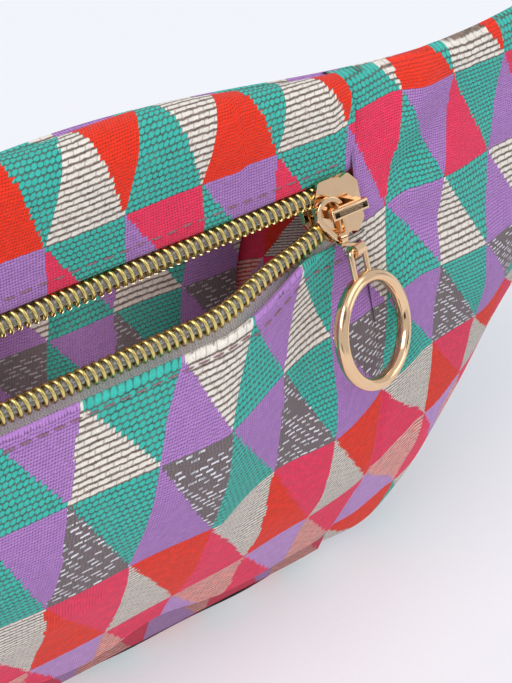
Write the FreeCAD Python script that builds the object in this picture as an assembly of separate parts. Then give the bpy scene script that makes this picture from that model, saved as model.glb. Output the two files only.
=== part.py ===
# Crescent waist pack with an open metallised coil zip, ring puller, webbing
# strap, tri-glide adjuster and side-release buckle.
# Frame: +X to the wearer's left (right as the front is seen), front faces -Y,
# +Z up. The origin is the centre of the flat base. Millimetres.
import FreeCAD, Part
import math
import os

V = FreeCAD.Vector
os.makedirs("parts", exist_ok=True)

# ---- driving dimensions -------------------------------------------------
HALF_LENGTH = 168.0        # centre of the pack to the end of a wing
TOP_HEIGHT = 121.0         # crest of the pack at the middle
WING_TOP = 108.0           # top edge along the wings
WING_BOTTOM = 64.0         # lower edge at the end of a wing
CREST_HALF = 25.0          # half length of the level part of the crest
CREST_FALL = 105.0         # length over which the crest comes down to the wings
FLAT_HALF = 80.0           # half length of the straight part of the bottom
BOTTOM_RISE = 92.0         # length over which the bottom rises to the wings' ends
MID_Y = 4.0                # plane in which the wings close up
FABRIC = 1.2               # jacquard thickness
LINING = 0.6               # lining thickness
LINING_GAP = 0.4           # air between the jacquard and the lining

ZIP_HALF = 80.0            # half length of the zip opening
COIL_END = 78.5            # half length of the coils
ZIP_Y = -20.0              # slider centre line
ZIP_Z = 94.0
ZIP_LEAN = math.radians(20.0)   # the slider plate faces up by this angle
COIL_OFFSET = 2.55         # coil centre from the slider centre line
COIL_WIDTH = 3.1
COIL_THICK = 2.1
CORD_WIDTH = 1.7
CORD_THICK = 0.9
COIL_WALL = 0.45
TAPE_THICK = 0.45
TAPE_LEVEL = -1.55         # inner face of the tape, along the slider's normal
GAPE = (-8.8, -4.4)       # how far the lower lip hangs open, in Y and Z
LIP_START = 3.0            # from the slider's centre to where the coils part
GAPE_RUN = 26.0            # length over which the lip opens, from the slider
LIP_FRONT = 3.9            # the closed lip's edge, in front of the slider's centre line
LIP_DROP = 8.2             # and below it

SLIDER_X = 75.0            # slider centre with the zip fully open
PLATE = 1.0
SLIDER_TOP = 1.25          # underside of the slider's top plate
SLIDER_BOTTOM = -1.75      # upper side of the slider's bottom plate

RING_RADIUS = 9.2          # centre line of the puller ring
RING_TUBE = 1.05

WEBBING_WIDTH = 38.0
WEBBING_THICK = 1.4
STRAP_Y = 51.0             # the closed strap runs along this line behind
STRAP_LOW = 24.5           # height of its middle there
STRAP_HIGH = 86.0          # height of its middle where it leaves a wing
STRAP_START_Y = 3.6
STRAP_LEAD = 6.0           # straight run before the strap turns back
STRAP_DROP = 105.0         # length over which the strap comes down

BUCKLE_HEIGHT = 45.0
BUCKLE_THICK = 9.0
FEMALE_LENGTH = 34.0       # from the mating face at X = 0 to the webbing
CAVITY_LENGTH = 24.0
MALE_LENGTH = 14.0
GLIDE_X = -105.0           # middle of the tri-glide


# ---- small helpers ------------------------------------------------------
def save(shape, name):
    shape.exportStep("parts/" + name + ".step")


def smooth(t):
    t = min(1.0, max(0.0, t))
    return t * t * (3.0 - 2.0 * t)


def box(x0, x1, y0, y1, z0, z1):
    return Part.makeBox(x1 - x0, y1 - y0, z1 - z0, V(x0, y0, z0))


def fused(shapes):
    out = shapes[0]
    for s in shapes[1:]:
        out = out.fuse(s)
    return out.removeSplitter()


def offset_points(points, distance):
    """Move a polyline sideways, towards the left of its direction."""
    out = []
    last = len(points) - 1
    for i in range(len(points)):
        a = points[max(i - 1, 0)]
        b = points[min(i + 1, last)]
        dy = b[0] - a[0]
        dz = b[1] - a[1]
        n = math.hypot(dy, dz)
        out.append((points[i][0] - dz / n * distance, points[i][1] + dy / n * distance))
    return out


def curve(points):
    spline = Part.BSplineCurve()
    spline.interpolate([V(*p) for p in points])
    return spline.toShape()


def sheet_section(x, outline, thickness):
    """Closed wire of a sheet's cross-section in the plane at x."""
    inner = offset_points(outline, thickness)
    outer3 = [(x, y, z) for y, z in outline]
    inner3 = [(x, y, z) for y, z in inner]
    end = Part.makeLine(V(*outer3[-1]), V(*inner3[-1]))
    start = Part.makeLine(V(*inner3[0]), V(*outer3[0]))
    return Part.Wire([curve(outer3), end, curve(inner3[::-1]), start])


def sheet(stations, outline_at, thickness):
    """Loft a sheet through the outlines at the stations."""
    wires = [sheet_section(x, outline_at(x), thickness) for x in stations]
    return Part.makeLoft(wires, True, False)


def spread(a, b, count):
    return [a + (b - a) * i / (count - 1.0) for i in range(count)]


# ---- outline of the pack ------------------------------------------------
def top_z(x):
    return TOP_HEIGHT - (TOP_HEIGHT - WING_TOP) * smooth((abs(x) - CREST_HALF) / CREST_FALL)


def bottom_z(x):
    return WING_BOTTOM * smooth((abs(x) - FLAT_HALF) / BOTTOM_RISE)


def bulge(x):
    """1 along the middle of the pack, almost 0 where a wing closes up."""
    return 1.0 - 0.77 * smooth((abs(x) - 70.0) / 98.0)


def lip_open(x):
    """0 at the ends of the zip opening, 1 where the mouth is fully open."""
    return smooth((SLIDER_X - LIP_START - abs(x)) / GAPE_RUN)


def placed(x, y, share):
    """A point of the middle section carried to station x."""
    z = bottom_z(x) + share * (top_z(x) - bottom_z(x))
    return (MID_Y + (y - MID_Y) * bulge(x), z)


def wing_outline(x):
    """A wing from its seam at the bottom of the back, round the front to the top."""
    shape = [(17.0, 0.035), (12.0, 0.008), (0.0, 0.006), (-9.0, 0.022), (-18.5, 0.15),
             (-25.5, 0.3), (-28.8, 0.47), (-27.8, 0.62), (-23.4, 0.76), (-20.5, 0.88),
             (-17.5, 0.96), (-14.0, 0.995)]
    return [placed(x, y, s) for y, s in shape]


def lower_front(x):
    """Front below the zip, from the base panel up to the lip."""
    shape = [(-19.2, 0.2), (-27.0, 0.355), (-29.5, 0.48), (-28.5, 0.6), (-25.0, 0.68)]
    lip = (ZIP_Y - LIP_FRONT, ZIP_Z - LIP_DROP)
    points = [placed(x, y, s) for y, s in shape] + [lip]
    out = []
    for y, z in points:
        w = lip_open(x) * smooth((z - 20.0) / 62.0)
        out.append((y + GAPE[0] * w, z + GAPE[1] * w))
    return out


def yoke_outline(x):
    """Front above the zip, from the fold beside the upper coil to the crest."""
    top = top_z(x)
    return [(-18.6, 99.2), (-19.2, 104.0), (-19.2, top - 6.0), (-17.4, top - 1.8), (-14.4, top - 0.3)]


def back_outline(x):
    """Back panel, top seam to bottom seam."""
    wing = smooth((abs(x) - ZIP_HALF) / 50.0)
    hem = 0.045 + 0.075 * wing
    top = (-11.0 + 6.0 * wing, 0.985 - 0.02 * wing)
    below = (-3.0 + 3.0 * wing, 0.93 - 0.03 * wing)
    shape = [top, below, (7.0, 0.82), (15.0, 0.62), (19.0, 0.35), (19.5, 0.18), (18.6, hem)]
    return [placed(x, y, s) for y, s in shape]


def lining_front_outline(x):
    return offset_points(lower_front(x)[-2::-1], FABRIC + LINING_GAP)


def lining_back_outline(x):
    return offset_points(back_outline(x)[::-1], FABRIC + LINING_GAP)


# ---- soft panels --------------------------------------------------------
SEAM_X = ZIP_HALF + 0.5
MIDDLE = spread(-ZIP_HALF, ZIP_HALF, 17)
WING = [SEAM_X + 4.0, 95.0, 106.0, 118.0, 130.0, 142.0, 152.0, 160.0, HALF_LENGTH]
WHOLE = [-x for x in reversed(WING)] + MIDDLE + WING


def backwards(function):
    """The same outline from its other end, so that a sheet thickens inwards."""
    return lambda x: function(x)[::-1]


def base_wire(x, front, flat_front, flat_back, back, z):
    """Bottom section: a rounded front edge, a flat stretch and a rounded back."""
    edges = [curve([(x, p[0], p[1]) for p in front + [(flat_front, z)]])]
    edges.append(Part.makeLine(V(x, flat_front, z), V(x, flat_back, z)))
    edges.append(curve([(x, flat_back, z)] + [(x, p[0], p[1]) for p in back]))
    return edges


def make_base():
    """Bottom panel, a straight prism with a truly flat underside."""
    x = -ZIP_HALF
    front = [(-18.4, 22.0), (-13.2, 9.6), (-8.4, 2.2)]
    back = [(16.2, 1.4), (17.6, 3.6)]
    front_in = [(-17.3, 22.5), (-12.1, 10.1), (-7.6, 3.1)]
    back_in = [(15.4, 2.4), (16.5, 4.2)]
    outer = base_wire(x, front, -4.8, 13.0, back, 0.0)
    inner = base_wire(x, front_in, -4.4, 12.6, back_in, FABRIC)
    ends = [Part.makeLine(V(x, *back[-1]), V(x, *back_in[-1])),
            Part.makeLine(V(x, *front_in[0]), V(x, *front[0]))]
    wire = Part.Wire(Part.__sortEdges__(outer + inner + ends))
    save(Part.Face(wire).extrude(V(2.0 * ZIP_HALF, 0, 0)), "base_panel")


def make_panels():
    save(sheet(MIDDLE, backwards(yoke_outline), FABRIC), "yoke_panel")
    save(sheet(MIDDLE, backwards(lower_front), FABRIC), "front_panel")
    save(sheet(WHOLE, backwards(back_outline), FABRIC), "back_panel")
    save(sheet(MIDDLE, lining_front_outline, LINING), "lining_front")
    save(sheet(MIDDLE, lining_back_outline, LINING), "lining_back")
    for side, name in ((1.0, "right"), (-1.0, "left")):
        stations = [side * x for x in [SEAM_X] + WING]
        save(sheet(stations, backwards(wing_outline), FABRIC), "wing_panel_" + name)


# ---- zip ----------------------------------------------------------------
def to_zip_frame(shape, x=0.0, y=0.0, z=0.0):
    """Carry a shape built as (along, up, out) onto the zip's line."""
    shape.rotate(V(0, 0, 0), V(1, 0, 0), 90.0 - math.degrees(ZIP_LEAN))
    shape.translate(V(x, ZIP_Y + y, ZIP_Z + z))
    return shape


def lower_line(x):
    """Centre of the lower coil: (up the slider, world Y shift, world Z shift)."""
    away = smooth((SLIDER_X - LIP_START - abs(x)) / 12.0)
    w = lip_open(x)
    return (-COIL_OFFSET + 1.95 * away, GAPE[0] * w, GAPE[1] * w)


def oval_wire(width, thick):
    """Flat-sided oval in the (up, out) plane."""
    r = thick / 2.0
    h = width / 2.0 - r
    top = Part.Arc(V(0, h, -r), V(0, h + r, 0), V(0, h, r)).toShape()
    low = Part.Arc(V(0, -h, r), V(0, -h - r, 0), V(0, -h, -r)).toShape()
    front = Part.makeLine(V(0, h, r), V(0, -h, r))
    rear = Part.makeLine(V(0, -h, -r), V(0, h, -r))
    return Part.Wire([top, front, low, rear])


def strip_wire(v0, v1, n0, n1):
    return Part.makePolygon([V(0, v0, n0), V(0, v1, n0), V(0, v1, n1), V(0, v0, n1), V(0, v0, n0)])


def along_lower(make_wire, end):
    """Loft one of the lower zip parts along the open lip."""
    wires = []
    for x in spread(-end, end, 49):
        up, y, z = lower_line(x)
        wire = make_wire()
        wire.translate(V(0, up, 0))
        wires.append(to_zip_frame(wire, x, y, z))
    return Part.makeLoft(wires, True, True)


def along_upper(make_wire, end):
    face = Part.Face(make_wire())
    face.translate(V(0, COIL_OFFSET, 0))
    return to_zip_frame(face.extrude(V(2.0 * end, 0, 0)), -end)


def make_zip():
    outer = lambda: oval_wire(COIL_WIDTH, COIL_THICK)
    inner = lambda: oval_wire(COIL_WIDTH - 2.0 * COIL_WALL, COIL_THICK - 2.0 * COIL_WALL)
    w, t = CORD_WIDTH / 2.0, CORD_THICK / 2.0
    cord = lambda: strip_wire(-w, w, -t, t)
    save(along_upper(outer, COIL_END).cut(along_upper(inner, COIL_END)), "zip_coil_upper")
    save(along_upper(cord, COIL_END), "zip_cord_upper")
    save(along_lower(outer, COIL_END).cut(along_lower(inner, COIL_END)), "zip_coil_lower")
    save(along_lower(cord, COIL_END), "zip_cord_lower")
    top = TAPE_LEVEL + TAPE_THICK
    upper_tape = lambda: strip_wire(-1.4, 6.6, TAPE_LEVEL, top)
    lower_tape = lambda: strip_wire(-6.6, 1.4, TAPE_LEVEL, top)
    save(along_upper(upper_tape, ZIP_HALF), "zip_tape_upper")
    save(along_lower(lower_tape, ZIP_HALF), "zip_tape_lower")


def make_stops():
    x0 = COIL_END + 0.15
    x1 = ZIP_HALF + 0.2
    save(to_zip_frame(box(x0, x1, -3.2, 4.2, -0.95, 0.15)), "zip_stop_open_end")
    a = box(-x1, -x0, 1.0, 4.2, -0.95, 0.15)
    b = box(-x1, -x0, -3.2, -1.0, -0.95, 0.15)
    save(to_zip_frame(Part.makeCompound([a, b])), "zip_stops_closed_end")


# ---- slider and puller, built as (along, up, out) about the slider centre ---
PLATE_OUTLINE = [(-4.8, 2.2), (-3.3, 5.2), (-0.6, 5.2), (1.0, 4.6), (2.7, 5.1), (4.3, 3.2)]
BRIDGE_LEVEL = 4.5         # underside of the bridge bar
BRIDGE_THICK = 1.2
BRIDGE_HALF = 0.95         # half width of the bar
POST_X = 2.5               # middle of the right bridge post
POST_HALF = 0.6
EYE_X = -3.0               # the puller's eye turns about the left bridge post
EYE_TIP = (-1.9, -3.4)
EYE_LEVEL = 3.0            # underside of the eye
EYE_THICK = 0.9
EYE_RIM = -4.675           # middle of the rim at the eye's tip
HANG_X = 0.6               # the ring hangs a little to the right of the eye's tip
LINK_PIVOT = -7.5          # hinge between the connector and the ring's link
PULL_LEVEL = EYE_LEVEL + EYE_THICK / 2.0
RING_TURN = 19.0           # the ring faces round to the side by this angle
RING_CENTRE = LINK_PIVOT - 14.5
LINK_HALF = 1.95
STRAP_HALF = 0.62          # half width of the connector where it holds the eye
LINK_WIRE = 0.5


def plate(level):
    lower = [(x, -v) for x, v in reversed(PLATE_OUTLINE)]
    points = [V(x, v, level) for x, v in PLATE_OUTLINE + lower]
    solid = Part.Face(Part.makePolygon(points + [points[0]])).extrude(V(0, 0, PLATE))
    upright = [e for e in solid.Edges if abs(e.tangentAt(e.FirstParameter).z) > 0.99]
    return solid.makeFillet(0.55, upright)


def make_slider_body():
    parts = [plate(SLIDER_TOP), plate(SLIDER_BOTTOM - PLATE)]
    parts.append(box(-3.9, -1.9, -0.8, 0.8, SLIDER_BOTTOM - 0.1, SLIDER_TOP + 0.1))
    for side in (-1.0, 1.0):
        v0, v1 = sorted((side * 4.4, side * 5.05))
        parts.append(box(-3.2, 2.7, v0, v1, -0.9, SLIDER_TOP + 0.1))
    top = SLIDER_TOP + PLATE
    for x in (EYE_X, POST_X):
        parts.append(box(x - POST_HALF, x + POST_HALF, -0.75, 0.75, top - 0.1, BRIDGE_LEVEL))
    save(to_zip_frame(fused(parts), SLIDER_X), "slider_body")


def make_bridge():
    """Bar over the two posts, with a square hole near each end."""
    top = BRIDGE_LEVEL + BRIDGE_THICK
    bar = box(EYE_X - 0.9, POST_X + 0.9, -BRIDGE_HALF, BRIDGE_HALF, BRIDGE_LEVEL, top)
    bar = bar.makeFillet(0.4, [e for e in bar.Edges if e.BoundBox.ZMin > top - 0.1])
    for x in (EYE_X - 0.1, POST_X + 0.1):
        bar = bar.cut(box(x - 0.38, x + 0.38, -0.38, 0.38, top - 0.6, top + 0.2))
    save(to_zip_frame(bar, SLIDER_X), "slider_bridge")
    leaf = box(-1.9, POST_X - 1.0, -0.45, 0.45, BRIDGE_LEVEL - 0.25, BRIDGE_LEVEL - 0.05)
    save(to_zip_frame(leaf, SLIDER_X), "slider_lock_spring")


def teardrop(grow, thick, level):
    """A round end about the post, tapering to a smaller round tip."""
    big = 1.9 + grow
    small = 0.85 + grow
    dx = EYE_TIP[0] - EYE_X
    dv = EYE_TIP[1]
    length = math.hypot(dx, dv)
    turn = math.acos((big - small) / length)
    heading = math.atan2(dv, dx)
    a = heading + turn
    b = heading - turn
    at = lambda cx, cv, r, t: V(cx + r * math.cos(t), cv + r * math.sin(t), level)
    p1, p2 = at(EYE_X, 0, big, a), at(EYE_TIP[0], EYE_TIP[1], small, a)
    q1, q2 = at(EYE_X, 0, big, b), at(EYE_TIP[0], EYE_TIP[1], small, b)
    far = at(EYE_X, 0, big, heading + math.pi)
    tip = at(EYE_TIP[0], EYE_TIP[1], small, heading)
    edges = [Part.Arc(p1, far, q1).toShape(), Part.makeLine(q1, q2),
             Part.Arc(q2, tip, p2).toShape(), Part.makeLine(p2, p1)]
    return Part.Face(Part.Wire(edges)).extrude(V(0, 0, thick))


def make_eye():
    eye = teardrop(0.9, EYE_THICK, EYE_LEVEL).cut(teardrop(0.0, EYE_THICK + 2.0, EYE_LEVEL - 1.0))
    save(to_zip_frame(eye, SLIDER_X), "puller_eye")


def tube_along(radius, hole, half, x, v, n, turn=0.0):
    """A short tube lying along the slider, turned about the hanging line."""
    axis = V(1, 0, 0)
    start = V(x - half, v, n)
    out = Part.makeCylinder(radius, 2 * half, start, axis)
    if hole > 0:
        out = out.cut(Part.makeCylinder(hole, 2 * half + 2, start - V(1, 0, 0), axis))
    out.rotate(V(x, v, n), V(0, 1, 0), turn)
    return out


def make_connector():
    """A strap folded round the eye's rim and round the link, leaning to the ring."""
    n = PULL_LEVEL
    upper = tube_along(1.1, 0.85, STRAP_HALF, EYE_TIP[0], EYE_RIM, n)
    lower = tube_along(1.2, LINK_WIRE + 0.07, 1.25, HANG_X, LINK_PIVOT, n, RING_TURN)
    ends = [(EYE_TIP[0], EYE_RIM - 0.95), (HANG_X, LINK_PIVOT + 0.85)]
    corners = [V(x + d, v, n - 0.5) for x, v, d in
               ((*ends[0], -STRAP_HALF), (*ends[0], STRAP_HALF), (*ends[1], 0.9), (*ends[1], -0.9))]
    strap = Part.Face(Part.makePolygon(corners + [corners[0]])).extrude(V(0, 0, 1.0))
    save(to_zip_frame(fused([upper, strap, lower]), SLIDER_X), "puller_connector")


def make_ring():
    """Ring with its link: a round ring and a narrow frame at the top."""
    x = HANG_X
    n = PULL_LEVEL
    ring = Part.makeTorus(RING_RADIUS, RING_TUBE, V(x, RING_CENTRE, n), V(0, 0, 1))
    bars = [Part.makeCylinder(LINK_WIRE, 2 * LINK_HALF, V(x - LINK_HALF, LINK_PIVOT, n), V(1, 0, 0))]
    length = LINK_PIVOT - RING_CENTRE - math.sqrt(RING_RADIUS ** 2 - LINK_HALF ** 2)
    for side in (-1.0, 1.0):
        sx = x + side * LINK_HALF
        bars.append(Part.makeSphere(LINK_WIRE, V(sx, LINK_PIVOT, n)))
        bars.append(Part.makeCylinder(LINK_WIRE, length, V(sx, LINK_PIVOT, n), V(0, -1, 0)))
    whole = fused([ring] + bars)
    whole.rotate(V(x, 0, n), V(0, 1, 0), RING_TURN)
    save(to_zip_frame(whole, SLIDER_X), "puller_ring")


# ---- strap --------------------------------------------------------------
def strap_plan(s):
    """Plan point and direction of the right strap at length s from its wing."""
    radius = (STRAP_Y - STRAP_START_Y) / 2.0
    bend = math.pi * radius
    x = HALF_LENGTH + 0.05
    if s <= STRAP_LEAD:
        return (x + s, STRAP_START_Y, 1.0, 0.0)
    if s <= STRAP_LEAD + bend:
        t = (s - STRAP_LEAD) / radius
        return (x + STRAP_LEAD + radius * math.sin(t),
                STRAP_START_Y + radius * (1.0 - math.cos(t)), math.cos(t), math.sin(t))
    rest = s - STRAP_LEAD - bend
    return (x + STRAP_LEAD - rest, STRAP_Y, -1.0, 0.0)


def strap_height(s):
    return STRAP_HIGH + (STRAP_LOW - STRAP_HIGH) * smooth((s - 2.0) / STRAP_DROP)


def strap_wire(s, side):
    x, y, dx, dy = strap_plan(s)
    z = strap_height(s)
    nx, ny = -dy * WEBBING_THICK / 2.0, dx * WEBBING_THICK / 2.0
    z0, z1 = z - WEBBING_WIDTH / 2.0, z + WEBBING_WIDTH / 2.0
    corners = [(x - nx, y - ny, z0), (x + nx, y + ny, z0), (x + nx, y + ny, z1), (x - nx, y - ny, z1)]
    points = [V(side * a, b, c) for a, b, c in corners]
    return Part.makePolygon(points + [points[0]])


def make_strap(side, end_x, name):
    bend = STRAP_LEAD + math.pi * (STRAP_Y - STRAP_START_Y) / 2.0
    total = bend + HALF_LENGTH + 0.05 + STRAP_LEAD - end_x
    stations = spread(0.0, 2.0 + STRAP_DROP, 25) + [total]
    wires = [strap_wire(s, side) for s in stations]
    save(Part.makeLoft(wires, True, True), name)


def make_female():
    h = BUCKLE_HEIGHT / 2.0
    t = BUCKLE_THICK / 2.0
    y, z = STRAP_Y, STRAP_LOW
    shell = box(0, FEMALE_LENGTH, y - t, y + t, z - h, z + h)
    shell = shell.makeFillet(2.0, [e for e in shell.Edges if e.BoundBox.XLength > 30])
    cavity = box(-1, CAVITY_LENGTH, y - 3, y + 3, z - 19, z + 19)
    windows = box(8, 20, y - 3, y + 3, z - h - 1, z + h + 1)
    slot = box(CAVITY_LENGTH + 3.0, CAVITY_LENGTH + 7.0, y - t - 1, y + t + 1, z - 19.5, z + 19.5)
    save(shell.cut(cavity).cut(windows).cut(slot), "buckle_female")


def make_male():
    y, z = STRAP_Y, STRAP_LOW
    base = box(-MALE_LENGTH, -0.3, y - 3.8, y + 3.8, z - 20, z + 20)
    base = base.makeFillet(1.5, [e for e in base.Edges if e.BoundBox.XLength > 10])
    slot = box(-MALE_LENGTH + 3.0, -MALE_LENGTH + 7.0, y - 6, y + 6, z - 19.4, z + 19.4)
    tongue = box(-0.5, 21.0, y - 2.0, y + 2.0, z - 5.0, z + 5.0)
    save(fused([base.cut(slot), tongue]), "buckle_male")


def make_arm(side, name):
    y, z = STRAP_Y, STRAP_LOW
    z0, z1 = sorted((z + side * 8.5, z + side * 12.5))
    stem = box(0.1, 18.0, y - 2.2, y + 2.2, z0, z1)
    z2, z3 = sorted((z + side * 12.0, z + side * 21.0))
    head = box(9.0, 18.0, y - 2.2, y + 2.2, z2, z3)
    corner = [e for e in head.Edges if e.BoundBox.YLength > 4.0 and
              abs(e.CenterOfMass.z - (z + side * 21.0)) < 0.01]
    save(fused([stem, head.makeFillet(2.0, corner)]), name)


def make_glide():
    """Tri-glide: the webbing runs in front of the outer bars, behind the middle."""
    y, z = STRAP_Y, STRAP_LOW
    gap = WEBBING_THICK / 2.0 + 0.25
    rails = [box(GLIDE_X - 12, GLIDE_X + 12, y - 2.6, y + 2.6, z + 19.4, z + 22.0),
             box(GLIDE_X - 12, GLIDE_X + 12, y - 2.6, y + 2.6, z - 22.0, z - 19.4)]
    outer = [box(GLIDE_X + a, GLIDE_X + a + 3.5, y + gap, y + 2.6, z - 20, z + 20) for a in (-12.0, 8.5)]
    middle = box(GLIDE_X - 2.0, GLIDE_X + 2.0, y - 2.6, y - gap, z - 20, z + 20)
    save(fused(rails + outer + [middle]), "tri_glide")


make_base()
make_panels()
make_zip()
make_stops()
make_slider_body()
make_bridge()
make_eye()
make_connector()
make_ring()
make_strap(1.0, FEMALE_LENGTH, "strap_right")
make_strap(-1.0, MALE_LENGTH + 0.3, "strap_left")
make_female()
make_male()
make_arm(1.0, "buckle_arm_upper")
make_arm(-1.0, "buckle_arm_lower")
make_glide()
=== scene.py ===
import math

import bpy
import bmesh
import numpy as np
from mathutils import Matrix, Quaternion, Vector


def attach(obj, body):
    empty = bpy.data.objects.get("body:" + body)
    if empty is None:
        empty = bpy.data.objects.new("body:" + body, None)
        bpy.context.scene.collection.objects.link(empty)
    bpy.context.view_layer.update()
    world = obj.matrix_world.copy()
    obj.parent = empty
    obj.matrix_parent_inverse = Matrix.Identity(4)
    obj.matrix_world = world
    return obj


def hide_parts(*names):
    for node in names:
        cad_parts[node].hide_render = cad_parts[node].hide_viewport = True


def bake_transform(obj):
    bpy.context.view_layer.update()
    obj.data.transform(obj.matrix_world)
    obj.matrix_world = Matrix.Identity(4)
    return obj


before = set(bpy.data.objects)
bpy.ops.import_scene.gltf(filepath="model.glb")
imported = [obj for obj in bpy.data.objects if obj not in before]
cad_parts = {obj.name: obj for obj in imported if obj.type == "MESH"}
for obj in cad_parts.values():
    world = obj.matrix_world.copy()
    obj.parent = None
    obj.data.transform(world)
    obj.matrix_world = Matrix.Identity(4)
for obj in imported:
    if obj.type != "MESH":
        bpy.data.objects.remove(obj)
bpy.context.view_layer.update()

MM = 0.001

# ---- dimensions shared with the CAD, millimetres ----------------------------
HALF_LENGTH, TOP_HEIGHT, WING_TOP, WING_BOTTOM = 168.0, 121.0, 108.0, 64.0
CREST_HALF, CREST_FALL, FLAT_HALF, BOTTOM_RISE, MID_Y = 25.0, 105.0, 80.0, 92.0, 4.0
ZIP_HALF, COIL_END, ZIP_Y, ZIP_Z = 80.0, 78.5, -20.0, 94.0
LEAN = math.radians(20.0)
GAPE = np.array([0.0, -8.8, -4.4])
SLIDER_X, LIP_START, GAPE_RUN = 75.0, -3.0, 36.0           # the lip opens over more length than the CAD's
AWAY_X, AWAY_RUN = 68.0, 14.0                             # where the lower coil leaves the slider's line
SEAM_X = ZIP_HALF + 0.5
UP = np.array([0.0, math.sin(LEAN), math.cos(LEAN)])      # up the slider plate
OUT = np.array([0.0, -math.cos(LEAN), math.sin(LEAN)])    # out of the slider plate
OPEN_X = SLIDER_X - LIP_START                              # the coils part here
FULL_X = OPEN_X - GAPE_RUN                                 # the lip is fully open here
COIL_OFFSET, COIL_PITCH, COIL_WIRE = 2.55, 1.43, 0.36
COIL_HALF_WIDTH, COIL_HALF_THICK = 1.50, 0.92
CORD_RADIUS, SEWING_RADIUS = 0.80, 0.10
TAPE_LEVEL = -1.12                                         # under the coils, along the slider's normal
MESHING = 1.95                                             # how far the lower coil moves in to mesh
STRAP_START_Y, STRAP_Y, STRAP_HIGH, STRAP_LOW = 3.6, 51.0, 86.0, 24.5
STRAP_LEAD, STRAP_DROP, STRAP_INSIDE = 6.0, 105.0, 4.05    # the strap starts inside the wing
STRAP_RADIUS = (STRAP_Y - STRAP_START_Y) / 2.0
LIP_LOW, LIP_HIGH = 20.0, 87.5                             # heights between which the front opens


def smooth(t):
    t = np.clip(t, 0.0, 1.0)
    return t * t * (3.0 - 2.0 * t)


def top_z(x):
    return TOP_HEIGHT - (TOP_HEIGHT - WING_TOP) * float(smooth((abs(x) - CREST_HALF) / CREST_FALL))


def bottom_z(x):
    return WING_BOTTOM * float(smooth((abs(x) - FLAT_HALF) / BOTTOM_RISE))


def bulge(x):
    return 1.0 - 0.77 * float(smooth((abs(x) - 70.0) / 98.0))


def placed(x, y, share):
    z = bottom_z(x) + share * (top_z(x) - bottom_z(x))
    return (MID_Y + (y - MID_Y) * bulge(x), z)


def lip_share(x, z):
    """How far a point of the front follows the open lip, from its closed place."""
    t = (z - LIP_LOW) / (LIP_HIGH - LIP_LOW) - max(0.0, abs(x) - FULL_X) / GAPE_RUN
    return float(smooth(t))


def line_share(x):
    return float(smooth((OPEN_X - abs(x)) / GAPE_RUN))


# ---- mesh helpers -----------------------------------------------------------
def resample(points, count):
    """Catmull-Rom through the points, then even steps along its length."""
    p = np.array(points, float)
    p = np.vstack([2 * p[0] - p[1], p, 2 * p[-1] - p[-2]])
    fine = []
    steps = 14
    for i in range(1, len(p) - 2):
        for j in range(steps):
            t = j / steps
            a, b, c, d = p[i - 1], p[i], p[i + 1], p[i + 2]
            fine.append(0.5 * (2 * b + (c - a) * t + (2 * a - 5 * b + 4 * c - d) * t * t
                               + (3 * b - a - 3 * c + d) * t ** 3))
    fine.append(p[-2])
    fine = np.array(fine)
    run = np.concatenate([[0], np.cumsum(np.linalg.norm(np.diff(fine, axis=0), axis=1))])
    at = np.linspace(0, run[-1], count)
    return np.stack([np.interp(at, run, fine[:, k]) for k in range(p.shape[1])], 1)


def new_object(name, verts, faces, material, uv=None):
    mesh = bpy.data.meshes.new(name)
    mesh.from_pydata([tuple(v) for v in (np.asarray(verts, float) * MM)], [], faces)
    if uv is not None:
        layer = mesh.uv_layers.new(name="UVMap")
        loop_vert = np.zeros(len(mesh.loops), np.int32)
        mesh.loops.foreach_get("vertex_index", loop_vert)
        layer.data.foreach_set("uv", np.asarray(uv, np.float32)[loop_vert].ravel())
    mesh.update()
    obj = bpy.data.objects.new(name, mesh)
    bpy.context.scene.collection.objects.link(obj)
    mesh.polygons.foreach_set("use_smooth", [True] * len(mesh.polygons))
    mesh.materials.append(material)
    return obj


def grid_faces(n, m, wrap=False, flip=False):
    faces = []
    for i in range(n - 1):
        for j in range(m if wrap else m - 1):
            k = (j + 1) % m
            f = (i * m + j, (i + 1) * m + j, (i + 1) * m + k, i * m + k)
            faces.append(f[::-1] if flip else f)
    return faces


def grid(name, points, uv, material, flip=False):
    n, m = points.shape[:2]
    return new_object(name, points.reshape(-1, 3), grid_faces(n, m, flip=flip),
                      material, uv.reshape(-1, 2))


def tube(name, path, radius, sides, material):
    """Round tube along a path of points in millimetres."""
    path = np.asarray(path, float)
    tangent = np.gradient(path, axis=0)
    tangent /= np.linalg.norm(tangent, axis=1)[:, None]
    ref = np.array([0.31, 0.17, 0.93])
    verts, uv = [], []
    run = np.concatenate([[0], np.cumsum(np.linalg.norm(np.diff(path, axis=0), axis=1))])
    side = np.cross(tangent[0], ref)
    for i in range(len(path)):
        side = side - tangent[i] * (side @ tangent[i])
        side /= np.linalg.norm(side)
        other = np.cross(tangent[i], side)
        for k in range(sides):
            a = 2 * math.pi * k / sides
            verts.append(path[i] + radius * (math.cos(a) * side + math.sin(a) * other))
            uv.append((run[i], k / sides * 2 * math.pi * radius))
    faces = grid_faces(len(path), sides, wrap=True)
    faces.append(tuple(range(sides)))
    faces.append(tuple(range((len(path) - 1) * sides, len(path) * sides))[::-1])
    return new_object(name, verts, faces, material, np.array(uv))


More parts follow.
